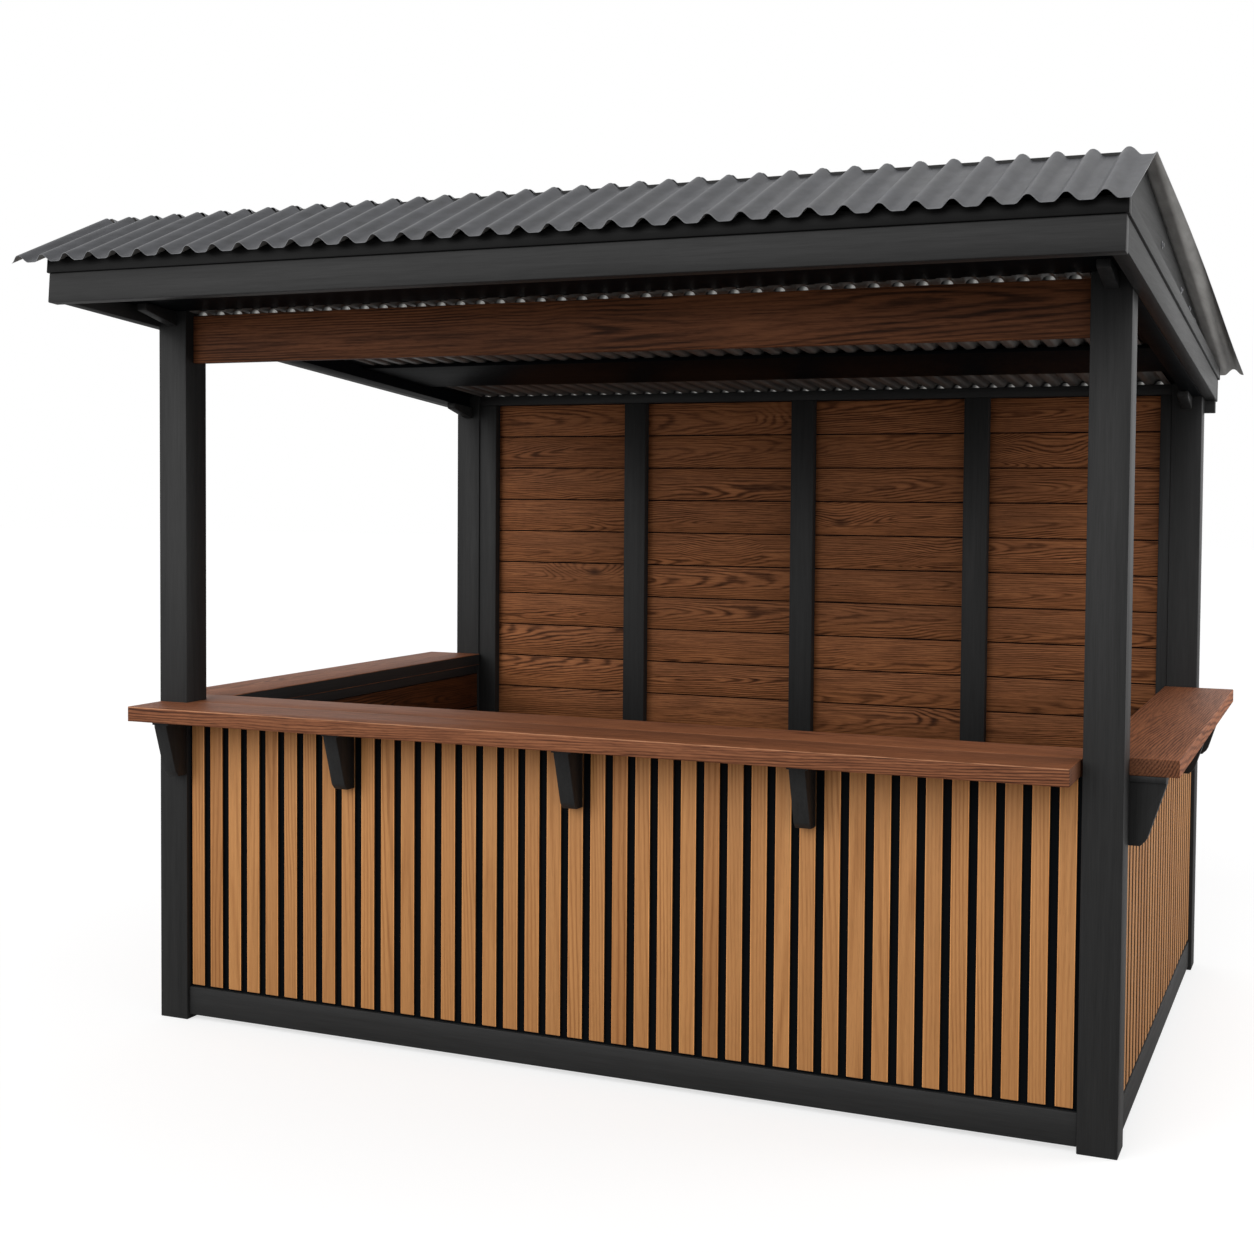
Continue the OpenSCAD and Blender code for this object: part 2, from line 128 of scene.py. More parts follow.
def spans(node, axis):  # low and high ends of a node's solids along an axis
    ends = sorted({round(v.co[axis], 4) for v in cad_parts[node].data.vertices})
    return list(zip(ends[::2], ends[1::2]))


def camelName(node):
    first, *rest = node.split("_")
    return first + "".join(word.capitalize() for word in rest)


def finishPiece(piece, name, materials, slotName, *nodes):
    pick(piece)
    bpy.ops.object.shade_smooth_by_angle(angle=math.radians(modelling["smoothAngle"]))
    piece.name = name
    piece.data.name = name
    for index, material in enumerate(materials):
        if index < len(piece.data.materials):
            piece.data.materials[index] = material
        else:
            piece.data.materials.append(material)
    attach(piece, "root")
    if nodes:
        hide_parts(*nodes)


# Small tools for materials

def shade(red, green, blue):  # a screen colour, 0 to 255, as Blender's linear one
    def linear(part):
        part = part / 255
        return part / 12.92 if part <= 0.04045 else ((part + 0.055) / 1.055) ** 2.4
    return (linear(red), linear(green), linear(blue), 1)


def feed(tree, value, socket):  # a socket is linked, anything else is typed in
    if isinstance(value, bpy.types.NodeSocket):
        tree.links.new(value, socket)
    else:
        socket.default_value = value


def vectorMath(tree, operation, first, second):  # on the three parts of a vector
    node = tree.nodes.new("ShaderNodeVectorMath")
    node.operation = operation
    feed(tree, first, node.inputs[0])
    feed(tree, second, node.inputs[1])
    return node.outputs[0]


def numberMath(tree, operation, first, second):
    node = tree.nodes.new("ShaderNodeMath")
    node.operation = operation
    feed(tree, first, node.inputs[0])
    feed(tree, second, node.inputs[1])
    return node.outputs[0]


def noise(tree, vector, detail, seed=0, rough=0.55, output="Fac"):
    node = tree.nodes.new("ShaderNodeTexNoise")
    node.noise_dimensions = "4D"
    feed(tree, vector, node.inputs["Vector"])
    feed(tree, seed, node.inputs["W"])
    node.inputs["Scale"].default_value = 1
    node.inputs["Detail"].default_value = detail
    node.inputs["Roughness"].default_value = rough
    return node.outputs[output]


def remap(tree, value, fromLow, fromHigh, toLow, toHigh):
    node = tree.nodes.new("ShaderNodeMapRange")
    feed(tree, value, node.inputs["Value"])
    ends = {"From Min": fromLow, "From Max": fromHigh, "To Min": toLow, "To Max": toHigh}
    for name, number in ends.items():
        node.inputs[name].default_value = number
    return node.outputs["Result"]


def colourRamp(tree, value, stops):
    node = tree.nodes.new("ShaderNodeValToRGB")
    feed(tree, value, node.inputs["Fac"])
    points = node.color_ramp.elements
    while len(points) < len(stops):
        points.new(1)
    for point, (position, colour) in zip(points, stops):
        point.position = position
        point.color = colour
    return node.outputs["Color"]


def mixColour(tree, blend, amount, first, second):
    node = tree.nodes.new("ShaderNodeMix")
    node.data_type = "RGBA"
    node.blend_type = blend
    feed(tree, amount, node.inputs["Factor"])
    feed(tree, first, node.inputs[6])
    feed(tree, second, node.inputs[7])
    return node.outputs[2]


def bump(tree, height, strength, distance, shader):
    node = tree.nodes.new("ShaderNodeBump")
    node.inputs["Strength"].default_value = strength
    node.inputs["Distance"].default_value = distance
    tree.links.new(height, node.inputs["Height"])
    tree.links.new(node.outputs["Normal"], shader.inputs["Normal"])


def startMaterial(name):
    material = bpy.data.materials.new(name)
    material.use_nodes = True
    tree = material.node_tree
    place = tree.nodes.new("ShaderNodeTexCoord").outputs["Object"]
    return material, tree, tree.nodes["Principled BSDF"], place


def attribute(tree, name, output):
    node = tree.nodes.new("ShaderNodeAttribute")
    node.attribute_name = name
    return node.outputs[output]


def alongGrain(grain, along, across):  # one number along the grain, another across it
    return [along if axis == grain else across for axis in "XYZ"]


# Wood: rings round the log's middle, knots, fibres and pores along the grain, a tone for each board
woodGrain = {
    "knotHeart": 0.05, "coreStart": 0.3, "coreDark": 0.8,  # shares of a knot's reach, size and tone
    "fadeFrom": (0.35, 0.65), "fadeTo": (0.25, 1),         # rings come and go along the board
    "poreSoft": 0.1, "cloudFrom": (0.3, 0.7), "roughFrom": (0.2, 0.8), "evenTone": 0.5,
}


def woodMaterial(name, look, grain):
    material, tree, shader, place = startMaterial(name)
    seed = attribute(tree, "boardSeed", "Fac")
    inLog = vectorMath(tree, "ADD", place, attribute(tree, "logPlace", "Vector"))

    def grainNoise(along, across, detail=2, output="Fac"):
        drawn = vectorMath(tree, "MULTIPLY", inLog, alongGrain(grain, along, across))
        return noise(tree, drawn, detail, seed, output=output)

    def sway(along, across, size):  # pushes the rings sideways by up to half the size
        push = vectorMath(tree, "SUBTRACT", grainNoise(along, across, 2, "Color"), (0.5, 0.5, 0.5))
        return vectorMath(tree, "MULTIPLY", push, alongGrain(grain, 0, size))

    knots = tree.nodes.new("ShaderNodeTexVoronoi")
    knots.voronoi_dimensions = "4D"
    knots.inputs["Scale"].default_value = 1
    knotPlace = vectorMath(tree, "MULTIPLY", inLog, alongGrain(grain, *look["knotScale"]))
    feed(tree, knotPlace, knots.inputs["Vector"])
    feed(tree, seed, knots.inputs["W"])
    knotGap = knots.outputs["Distance"]
    swirl = remap(tree, knotGap, woodGrain["knotHeart"], look["knotReach"], look["knotPush"], 0)
    coreStart = woodGrain["coreStart"] * look["knotSize"]
    core = remap(tree, knotGap, coreStart, look["knotSize"], woodGrain["coreDark"], 0)

    leaning = tree.nodes.new("ShaderNodeMapping")
    feed(tree, inLog, leaning.inputs["Vector"])
    leaning.inputs["Rotation"].default_value = alongGrain(grain, 0, math.radians(look["lean"]))
    ringPlace = vectorMath(tree, "ADD", leaning.outputs["Vector"], sway(*look["broadSway"]))
    ringPlace = vectorMath(tree, "ADD", ringPlace, sway(*look["fineSway"]))
    pushed = tree.nodes.new("ShaderNodeCombineXYZ")
    for axis in "XYZ":
        feed(tree, swirl if axis != grain else 0, pushed.inputs[axis])
    rings = tree.nodes.new("ShaderNodeTexWave")
    rings.wave_type = "RINGS"
    rings.rings_direction = grain
    feed(tree, vectorMath(tree, "ADD", ringPlace, pushed.outputs[0]), rings.inputs["Vector"])
    rings.inputs["Scale"].default_value = math.pi / 10 / look["ringGap"]  # at scale 1 they are pi / 10 apart
    ringPart = numberMath(tree, "POWER", rings.outputs["Fac"], look["ringSharp"])

    fibre = grainNoise(*look["fibre"], 4)
    pore = grainNoise(*look["pore"], 1)
    cloud = grainNoise(*look["cloud"], 3)
    fade = remap(tree, grainNoise(*look["fade"], 2), *woodGrain["fadeFrom"], *woodGrain["fadeTo"])
    faded = numberMath(tree, "MULTIPLY", ringPart, fade)
    ringFigure = numberMath(tree, "MULTIPLY", faded, look["ringShare"])
    fibreFigure = numberMath(tree, "MULTIPLY", fibre, look["fibreShare"])
    figure = numberMath(tree, "ADD", ringFigure, fibreFigure)
    colour = colourRamp(tree, figure, [(at, shade(*mix)) for at, mix in look["tones"]])
    poreEnd = look["poreFrom"] + woodGrain["poreSoft"]
    poreTint = remap(tree, pore, look["poreFrom"], poreEnd, 1, look["poreDark"])
    colour = mixColour(tree, "MULTIPLY", 1, colour, poreTint)
    cloudTint = remap(tree, cloud, *woodGrain["cloudFrom"], *look["cloudTones"])
    colour = mixColour(tree, "MULTIPLY", 1, colour, cloudTint)
    colour = mixColour(tree, "MIX", core, colour, shade(*look["knotTone"]))
    toneStops = [(0, look["darkBoard"]), (woodGrain["evenTone"], (1, 1, 1, 1)), (1, look["lightBoard"])]
    boardTone = colourRamp(tree, attribute(tree, "boardTone", "Fac"), toneStops)
    colour = mixColour(tree, "MULTIPLY", 1, colour, boardTone)
    feed(tree, colour, shader.inputs["Base Color"])
    feed(tree, remap(tree, figure, *woodGrain["roughFrom"], *look["rough"]), shader.inputs["Roughness"])
    shader.inputs["Specular IOR Level"].default_value = look["gloss"]
    relief = numberMath(tree, "ADD", poreTint, fibre)
    bump(tree, relief, look["bumpStrength"], look["bumpDepth"], shader)
    return material


boardLook = {
    "lean": 2.6, "ringGap": 0.0068, "ringSharp": 1.8, "ringShare": 0.35, "fibreShare": 0.8,
    "broadSway": (1.9, 9, 0.045), "fineSway": (12, 60, 0.005), "fade": (1.8, 10),
    "fibre": (6, 190), "pore": (26, 950), "cloud": (2.2, 11),
    "tones": [(0.2, (184, 121, 77)), (0.44, (155, 98, 61)),
              (0.62, (110, 67, 40)), (0.85, (52, 30, 18))],
    "poreFrom": 0.54, "poreDark": 0.6, "cloudTones": (0.78, 1.16), "knotTone": (44, 25, 15),
    "knotScale": (1.7, 4.6), "knotSize": 0.09, "knotReach": 0.4, "knotPush": 0.035,
    "darkBoard": (0.84, 0.82, 0.8, 1), "lightBoard": (1.14, 1.13, 1.12, 1),
    "rough": (0.5, 0.62), "gloss": 0.1, "bumpStrength": 0.25, "bumpDepth": 0.0005,
}
# Linings inside the stall: the board wood made darker, painted shade of the stall's interior
paintedShadeLiningLook = dict(
    boardLook,
    tones=[(0.2, (104, 60, 32)), (0.44, (84, 46, 24)), (0.62, (58, 31, 15)), (0.85, (30, 16, 8))],
)
# Header board: its own grain, with darker tones that are painted shade from the roof above it
paintedShadeHeaderLook = dict(
    boardLook, lean=1.2, ringGap=0.009, broadSway=(0.9, 7, 0.07),
    cloud=(0.9, 9), cloudTones=(0.66, 1.14),
    tones=[(0.2, (134, 84, 54)), (0.44, (112, 68, 43)), (0.62, (76, 45, 28)), (0.85, (36, 20, 12))],
)
counterLook = dict(
    boardLook, lean=1.6, ringGap=0.0075, broadSway=(0.9, 8, 0.05), fade=(0.9, 10),
    tones=[(0.2, (178, 117, 80)), (0.44, (152, 95, 64)), (0.62, (114, 68, 45)), (0.85, (66, 36, 24))],
    knotSize=0.03, knotPush=0.012, cloudTones=(0.86, 1.08), rough=(0.54, 0.64), gloss=0.12,
)
# Rounded front rim of the front counter: lighter tones, a painted highlight
rimHighlightLook = dict(
    counterLook, tones=[(0.2, (208, 154, 118)), (0.5, (180, 126, 92)), (0.85, (132, 84, 58))],
)
slatLook = dict(
    boardLook, lean=0.8, ringGap=0.01, ringShare=0.3, broadSway=(0.8, 9, 0.03), fibre=(2.4, 210),
    fibreShare=0.6, fineSway=(9, 55, 0.004),
    tones=[(0.2, (192, 137, 85)), (0.44, (177, 123, 74)),
           (0.62, (156, 105, 61)), (0.85, (122, 77, 44))],
    poreDark=0.86, cloudTones=(0.93, 1.04), knotSize=0.02, knotPush=0.006, knotTone=(96, 60, 36),
    darkBoard=(0.8, 0.74, 0.69, 1), lightBoard=(1.08, 1.08, 1.07, 1), gloss=0.16,
)
# counter front edge and end grain a tone darker; slat sides darker as painted shade, slat arrises lighter as
# a painted highlight
tints = {"counterEdge": 0.9, "counterEnd": 0.74, "slatSide": 0.42, "slatArris": 1.26}


def tinted(look, toneOrPaintedLight):  # the same wood, lighter or darker: its own tone, or painted shade or highlight
    share = tints[toneOrPaintedLight]
    return dict(look, tones=[(at, [part * share for part in mix]) for at, mix in look["tones"]])


counterWalnut = {grain: woodMaterial("counterWalnut" + grain, counterLook, grain) for grain in "XY"}
counterEdge = woodMaterial("counterEdge", tinted(counterLook, "counterEdge"), "X")
endLook = tinted(counterLook, "counterEnd")
counterEnd = {grain: woodMaterial("counterEnd" + grain, endLook, grain) for grain in "XY"}
boardWalnut = woodMaterial("boardWalnut", boardLook, "X")
paintedShadeLiningWalnut = {grain: woodMaterial("paintedShadeLiningWalnut" + grain, paintedShadeLiningLook, grain) for grain in "XY"}
paintedShadeHeaderWalnut = woodMaterial("paintedShadeHeaderWalnut", paintedShadeHeaderLook, "X")
counterRim = woodMaterial("counterRim", rimHighlightLook, "X")
slatWood = woodMaterial("slatWood", slatLook, "Z")
slatSide = woodMaterial("slatSide", tinted(slatLook, "slatSide"), "Z")
slatArris = woodMaterial("slatArris", tinted(slatLook, "slatArris"), "Z")


# Black stain: the grain still shows as faint ridges and a slight change of grey; darker copies of it are
# painted shade for the parts in shade
blackLook = {
    "dark": (31, 31, 31), "light": (45, 45, 45), "broad": (2.5, 70), "fine": (11, 380),
    "spread": (0.3, 0.7), "rough": (0.5, 0.42), "gloss": 0.17, "bumpStrength": 0.14, "bumpDepth": 0.0008,
}
# darker copy of the stain, painted shade: soffit, ceiling board, backing, board tongues, ceiling sheet's cut
# edges
paintedShadeLook = dict(blackLook, dark=(7, 9, 11), light=(12, 15, 18), gloss=0.02)
# darker copy of the stain, painted shade: trim ends and gable boards under the sheets' overhang
paintedShadeTrimLook = dict(blackLook, dark=(11, 11, 11), light=(19, 19, 19), gloss=0.1)


def blackTimber(name, look, grain):
    material, tree, shader, place = startMaterial(name)
    broad = noise(tree, vectorMath(tree, "MULTIPLY", place, alongGrain(grain, *look["broad"])), 4)
    fine = noise(tree, vectorMath(tree, "MULTIPLY", place, alongGrain(grain, *look["fine"])), 2)
    mixed = numberMath(tree, "MULTIPLY", numberMath(tree, "ADD", broad, fine), 0.5)
    low, high = look["spread"]
    colour = colourRamp(tree, mixed, [(low, shade(*look["dark"])), (high, shade(*look["light"]))])
    feed(tree, colour, shader.inputs["Base Color"])
    feed(tree, remap(tree, mixed, low, high, *look["rough"]), shader.inputs["Roughness"])
    shader.inputs["Specular IOR Level"].default_value = look["gloss"]
    bump(tree, mixed, look["bumpStrength"], look["bumpDepth"], shader)
    return material


blackGrain = {grain: blackTimber("blackTimber" + grain, blackLook, grain) for grain in "XYZ"}
paintedShadeGrain = {grain: blackTimber("paintedShadeTimber" + grain, paintedShadeLook, grain) for grain in "XZ"}
paintedShadeTrimGrain = {grain: blackTimber("trimTimber" + grain, paintedShadeTrimLook, grain) for grain in "XY"}


# Corrugated steel: soft mottling, faint streaks down the fall, brighter cut edges
sheetLook = {
    "mottle": 9, "mottleRough": 0.6, "fine": 60, "streakAcross": 45, "streakAlong": 1.5,
    "toneSpread": (0.34, 0.66), "roughSpread": (0.3, 0.7), "metal": 0.3, "rough": (0.4, 0.54),
    "bumpStrength": 0.12, "bumpDepth": 0.0015,
}


def sheetMetal(name, dark, light):
    look = sheetLook
    material, tree, shader, place = startMaterial(name)
    spotted = vectorMath(tree, "MULTIPLY", place, [look["mottle"]] * 3)
    mottle = noise(tree, spotted, 4, rough=look["mottleRough"])
    fine = noise(tree, vectorMath(tree, "MULTIPLY", place, [look["fine"]] * 3), 2)
    streakScale = (look["streakAcross"], look["streakAlong"], look["streakAcross"])
    streak = noise(tree, vectorMath(tree, "MULTIPLY", place, streakScale), 3)
    mixed = numberMath(tree, "MULTIPLY", numberMath(tree, "ADD", mottle, streak), 0.5)
    low, high = look["toneSpread"]
    colour = colourRamp(tree, mixed, [(low, shade(*dark)), (high, shade(*light))])
    feed(tree, colour, shader.inputs["Base Color"])
    feed(tree, remap(tree, mottle, *look["roughSpread"], *look["rough"]), shader.inputs["Roughness"])
    shader.inputs["Metallic"].default_value = look["metal"]
    bump(tree, fine, look["bumpStrength"], look["bumpDepth"], shader)
    return material


roofSheet = sheetMetal("roofSheet", (58, 59, 62), (86, 87, 91))
ceilingSheet = sheetMetal("ceilingSheet", (84, 82, 80), (114, 112, 109))
sheetUnder = sheetMetal("sheetUnder", (112, 110, 107), (150, 148, 145))
sheetEdge = sheetMetal("sheetEdge", (110, 111, 114), (160, 161, 164))


# Wave fillers of foam with painted light: they glow as if daylight came through them, with a painted glint
# dark at one end and bright at the other
paintedGlintLook = {
    "tones": [(0.25, (22, 22, 22)), (0.6, (120, 120, 118)), (0.82, (236, 236, 232))], "glow": 0.2,
    "cells": 700, "roughSpread": (0.3, 0.7), "rough": (0.3, 0.5), "bumpStrength": 0.2, "bumpDepth": 0.0008,
}
paintedGlintFoam, tree, shader, place = startMaterial("paintedGlintFoam")
paintedGlintTones = [(at, shade(*mix)) for at, mix in paintedGlintLook["tones"]]
colour = colourRamp(tree, attribute(tree, "daylight", "Fac"), paintedGlintTones)
cells = noise(tree, vectorMath(tree, "MULTIPLY", place, [paintedGlintLook["cells"]] * 3), 2)
feed(tree, colour, shader.inputs["Base Color"])
# the foam glows though it is no lamp: painted daylight
feed(tree, colour, shader.inputs["Emission Color"])
shader.inputs["Emission Strength"].default_value = paintedGlintLook["glow"]
foamRough = remap(tree, cells, *paintedGlintLook["roughSpread"], *paintedGlintLook["rough"])
feed(tree, foamRough, shader.inputs["Roughness"])
bump(tree, cells, paintedGlintLook["bumpStrength"], paintedGlintLook["bumpDepth"], shader)
print("materials made:", len(bpy.data.materials))


# Black timbers: copies of the CAD members with their edges eased
timbers = {
    "edge": 0.0028, "steps": 2,
    "X": ["bottom_rail_front", "bottom_rail_back", "counter_rail_front", "back_top_rail", "rear_ledger",
          "roof_beam_front", "roof_beam_back"],
    "Y": ["bottom_rail_left", "bottom_rail_right", "counter_rail_left", "counter_rail_right",
          "barge_rafter_left", "barge_rafter_right", "roof_trim_sides"],
    "Z": ["post_front_left", "post_front_right", "post_back_left", "post_back_right", "back_studs",
          "knee_brackets"],
}
for grain in "XYZ":
    for node in timbers[grain]:
        timber = nodeCopy(node)
        softenEdges(timber, timbers["edge"], timbers["steps"])
        finishPiece(timber, camelName(node), [blackGrain[grain]], "black_timber", node)
# boards under the roof get the painted-shade copies of the stain
shadedBoards = {
    "soffit_boards": paintedShadeGrain["X"], "ceiling_board": paintedShadeGrain["X"], "roof_trim_ends": paintedShadeTrimGrain["X"],
}
for node, stain in shadedBoards.items():
    board = nodeCopy(node)
    softenEdges(board, timbers["edge"], timbers["steps"])
    finishPiece(board, camelName(node), [stain], "black_timber", node)
print("timbers dressed")

# Counter brackets: eased feet, then all the sharp edges eased
brackets = {"footRound": 0.005, "footSteps": 3, "footZone": 0.03, "edge": 0.0016, "edgeSteps": 2,
            "sharpTurn": 0.6}
for node, acrossAxis in (("brackets_front", 0), ("brackets_left", 1), ("brackets_right", 1)):
    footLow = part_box(node)[0].z
    bracket = nodeCopy(node)

    def isFootEdge(run, middle):
        across = abs(run[acrossAxis]) > modelling["alongShare"] * run.length
        return across and footLow + modelling["snap"] < middle.z < footLow + brackets["footZone"]
    softenEdges(bracket, brackets["footRound"], brackets["footSteps"], isFootEdge)
    ease = bracket.modifiers.new("ease", "BEVEL")
    ease.width = brackets["edge"]
    ease.segments = brackets["edgeSteps"]
    ease.limit_method = "ANGLE"
    ease.angle_limit = brackets["sharpTurn"]
    bpy.ops.object.modifier_apply(modifier=ease.name)
    finishPiece(bracket, camelName(node), [blackGrain["Z"]], "black_timber", node)
print("brackets dressed")

# Nodes whose plain shape is right keep it and get the stain; the backing and gable boards get its
# painted-shade copies
plainNodes = {
    "backing_front": paintedShadeGrain["Z"], "backing_left": paintedShadeGrain["Z"], "backing_right": paintedShadeGrain["Z"],
    "gable_boards": paintedShadeTrimGrain["Y"], "ridge_beam": blackGrain["X"],
}
for node, stain in plainNodes.items():
    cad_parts[node].material_slots[0].material = stain


def markWood(piece, logSpot, tone, seed):  # where this board lay in its log, how light it is, which log
    mesh = piece.data
    middle = sum((v.co for v in mesh.vertices), Vector()) / len(mesh.vertices)
    faceCount = len(mesh.polygons)
    places = mesh.attributes.new("logPlace", "FLOAT_VECTOR", "FACE")
    places.data.foreach_set("vector", list(Vector(logSpot) - middle) * faceCount)
    for name, value in (("boardTone", tone), ("boardSeed", seed)):
        values = mesh.attributes.new(name, "FLOAT", "FACE")
        values.data.foreach_set("value", [value] * faceCount)


# Slats: one slat modelled, then copied along its wall with its own grain and tone
slats = {
    "edge": 0.0026, "sideFacing": 0.9, "edgeFacing": 0.25,
    "seed": 11, "toneMiddle": 0.52, "toneSpread": 0.13, "redShare": 0.14, "redTone": 0.16,
    "logRadius": (0.05, 0.14), "logShift": 0.5, "logCount": 90,
}
chance = random.Random(slats["seed"])
for node, axis in (("slats_front", 0), ("slats_left", 1), ("slats_right", 1)):
    low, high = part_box(node)
    rows = spans(node, axis)
    firstLow, firstHigh = low.copy(), high.copy()
    firstLow[axis], firstHigh[axis] = rows[0]
    slat = addBox(firstLow, firstHigh)
    softenEdges(slat, slats["edge"])
    slatLooks = [slatWood, slatSide, slatArris]
    for look in slatLooks:
        slat.data.materials.append(look)
    for face in slat.data.polygons:  # painted shade on the sides in the grooves
        sideways, outward = abs(face.normal[axis]), abs(face.normal[1 - axis])
        if sideways > slats["sideFacing"]:
            face.material_index = 1
        elif min(sideways, outward) > slats["edgeFacing"]:
            face.material_index = 2 - axis  # painted highlight only on the front slats' edges; the side walls' slat edges get the painted shade
    wall = []
    for start, _ in rows:
        move = Vector((0, 0, 0))
        move[axis] = start - rows[0][0]
        strip = copyMoved(slat, move)
        radius = chance.uniform(*slats["logRadius"])
        angle = chance.uniform(0, 2 * math.pi)
        shift = chance.uniform(-slats["logShift"], slats["logShift"])
        tone = chance.gauss(slats["toneMiddle"], slats["toneSpread"])
        if chance.random() < slats["redShare"]:
            tone = slats["redTone"]
        logSpot = (radius * math.cos(angle), radius * math.sin(angle), shift)
        markWood(strip, logSpot, tone, chance.uniform(0, slats["logCount"]))
        wall.append(strip)
    bpy.data.objects.remove(slat)
    finishPiece(joinAll(wall), camelName(node), slatLooks, "slat_wood", node)
print("slats laid")

# Boards of the back wall and of the linings: one board modelled in each bay, then copied up the wall
boards = {
    "height": 0.1306, "joint": 0.005, "edge": 0.0009, "tongue": 0.34, "seed": 5, "headerEdge": 0.003,
    "toneMiddle": 0.5, "toneSpread": 0.2,
    "logDepth": (0.02, 0.07), "logSide": 0.04, "logShift": 0.9, "logCount": 90,
    "header": {"logSpot": (0.3, 0.05, 0.01), "tone": 0.5, "seed": 7},
}
chance = random.Random(boards["seed"])


def flatSawn(axis, thickAxis):  # the log's middle lies behind the board's face
    spot = Vector((0, 0, chance.uniform(-boards["logSide"], boards["logSide"])))
    spot[axis] = chance.uniform(-boards["logShift"], boards["logShift"])
    spot[thickAxis] = chance.uniform(*boards["logDepth"])
    return spot


def boardWall(node, axis, walnut):
    low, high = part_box(node)
    thickAxis = 1 - axis
    rowCount = round((high.z - low.z) / boards["height"])
    rise = (high.z - low.z) / rowCount
    wall, tongues = [], []
    for start, end in spans(node, axis):
        firstLow, firstHigh = low.copy(), high.copy()
        firstLow[axis], firstHigh[axis] = start, end
        tongueLow, tongueHigh = firstLow.copy(), firstHigh.copy()
        inset = (high[thickAxis] - low[thickAxis]) * (1 - boards["tongue"]) / 2
        tongueLow[thickAxis] += inset
        tongueHigh[thickAxis] -= inset
        tongues.append(addBox(tongueLow, tongueHigh))
        firstLow.z += boards["joint"] / 2
        firstHigh.z = low.z + rise - boards["joint"] / 2
        board = addBox(firstLow, firstHigh)
        softenEdges(board, boards["edge"])
        for row in range(rowCount):
            plank = copyMoved(board, (0, 0, row * rise))
            tone = chance.gauss(boards["toneMiddle"], boards["toneSpread"])
            markWood(plank, flatSawn(axis, thickAxis), tone, chance.uniform(0, boards["logCount"]))
            wall.append(plank)
        bpy.data.objects.remove(board)
    face = joinAll(wall)
    face.data.materials.append(walnut)
    joints = joinAll(tongues)
    # the tongues in the joints take the painted-shade black: painted shade deep in the joints
    joints.data.materials.append(paintedShadeGrain["Z"])
    joined = joinAll([face, joints])
    finishPiece(joined, camelName(node), [walnut, paintedShadeGrain["Z"]], "board_walnut", node)


boardWall("back_boards", 0, boardWalnut)
boardWall("lining_front", 0, paintedShadeLiningWalnut["X"])
boardWall("lining_left", 1, paintedShadeLiningWalnut["Y"])
boardWall("lining_right", 1, paintedShadeLiningWalnut["Y"])
header = addBox(*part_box("header_board"))
softenEdges(header, boards["headerEdge"])
markWood(header, **boards["header"])
finishPiece(header, "headerBoard", [paintedShadeHeaderWalnut], "board_walnut", "header_board")
print("boards laid")

# Counters: planks with rounded rims, the front one of two planks with a fine joint
counters = {
    "rim": 0.004, "rimSteps": 4, "corner": 0.012,
    "joint": 0.0012, "jointShare": 0.5, "jointEdge": 0.001, "jointSteps": 2,
    "rimFacing": 0.25, "endFacing": 0.8, "innerFacing": 0.9,
    "near": {"logSpot": (0.4, 0.03, -0.05), "tone": 0.42, "seed": 3},
    "far": {"logSpot": (-0.5, -0.02, -0.06), "tone": 0.58, "seed": 21},
    "left": {"logSpot": (0.02, 0.3, -0.06), "tone": 0.5, "seed": 34},
    "right": {"logSpot": (0.03, -0.4, -0.05), "tone": 0.5, "seed": 55},
}


def onRim(low, high, sides):  # picks the edges on the named sides of a board's box
    def test(run, middle):
        gaps = {"front": middle.y - low.y, "back": high.y - middle.y,
                "left": middle.x - low.x, "right": high.x - middle.x}
        return any(gaps[side] < modelling["snap"] for side in sides)
    return test


low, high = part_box("counter_front")
jointAt = low.y + (high.y - low.y) * counters["jointShare"]
planks = []
for half, sides, outward in (("near", ("front", "left", "right"), 1), ("far", ("back", "left"), -1)):
    cutAt = jointAt - outward * counters["joint"] / 2
    plank = nodeCopy("counter_front")
    cutAway(plank, (0, cutAt, 0), (0, outward, 0))

    def isCorner(run, middle):
        upright = abs(run.z) > modelling["alongShare"] * run.length
        return upright and middle.x < low.x + modelling["snap"] and middle.y < low.y + modelling["snap"]

    def onJoint(run, middle):
        return abs(middle.y - cutAt) < modelling["snap"] and abs(run.z) < modelling["snap"]
    if half == "near":
        softenEdges(plank, counters["corner"], counters["rimSteps"], isCorner)
    softenEdges(plank, counters["rim"], counters["rimSteps"], onRim(low, high, sides))
    softenEdges(plank, counters["jointEdge"], counters["jointSteps"], onJoint)
    markWood(plank, **counters[half])
    planks.append(plank)
worktop = joinAll(planks)
frontLooks = [counterWalnut["X"], counterRim, counterEdge, counterEnd["X"]]
for look in frontLooks:
    worktop.data.materials.append(look)
for face in worktop.data.polygons:  # the rounded front edge gets a painted highlight, the end grain is darker
    if min(-face.normal.y, face.normal.z) > counters["rimFacing"]:
        face.material_index = 1
    elif -face.normal.y > counters["endFacing"]:
        face.material_index = 2
    elif abs(face.normal.x) > counters["endFacing"]:
        face.material_index = 3
finishPiece(worktop, "counterFront", frontLooks, "counter_walnut", "counter_front")

for side, inward in (("left", 1), ("right", -1)):
    plank = addBox(*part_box("counter_" + side))
    softenEdges(plank, counters["rim"], counters["rimSteps"])
    markWood(plank, **counters[side])
    sideLooks = [counterWalnut["Y"], blackGrain["Y"], counterEnd["Y"]]
    for look in sideLooks:
        plank.data.materials.append(look)
    for face in plank.data.polygons:  # the inner edge is stained like the rail under it
        if face.normal.x * inward > counters["innerFacing"]:
            face.material_index = 1
        elif abs(face.normal.y) > counters["endFacing"]:
            face.material_index = 2
    finishPiece(plank, "counter" + side.capitalize(), sideLooks, "counter_walnut", "counter_" + side)
print("counters laid")

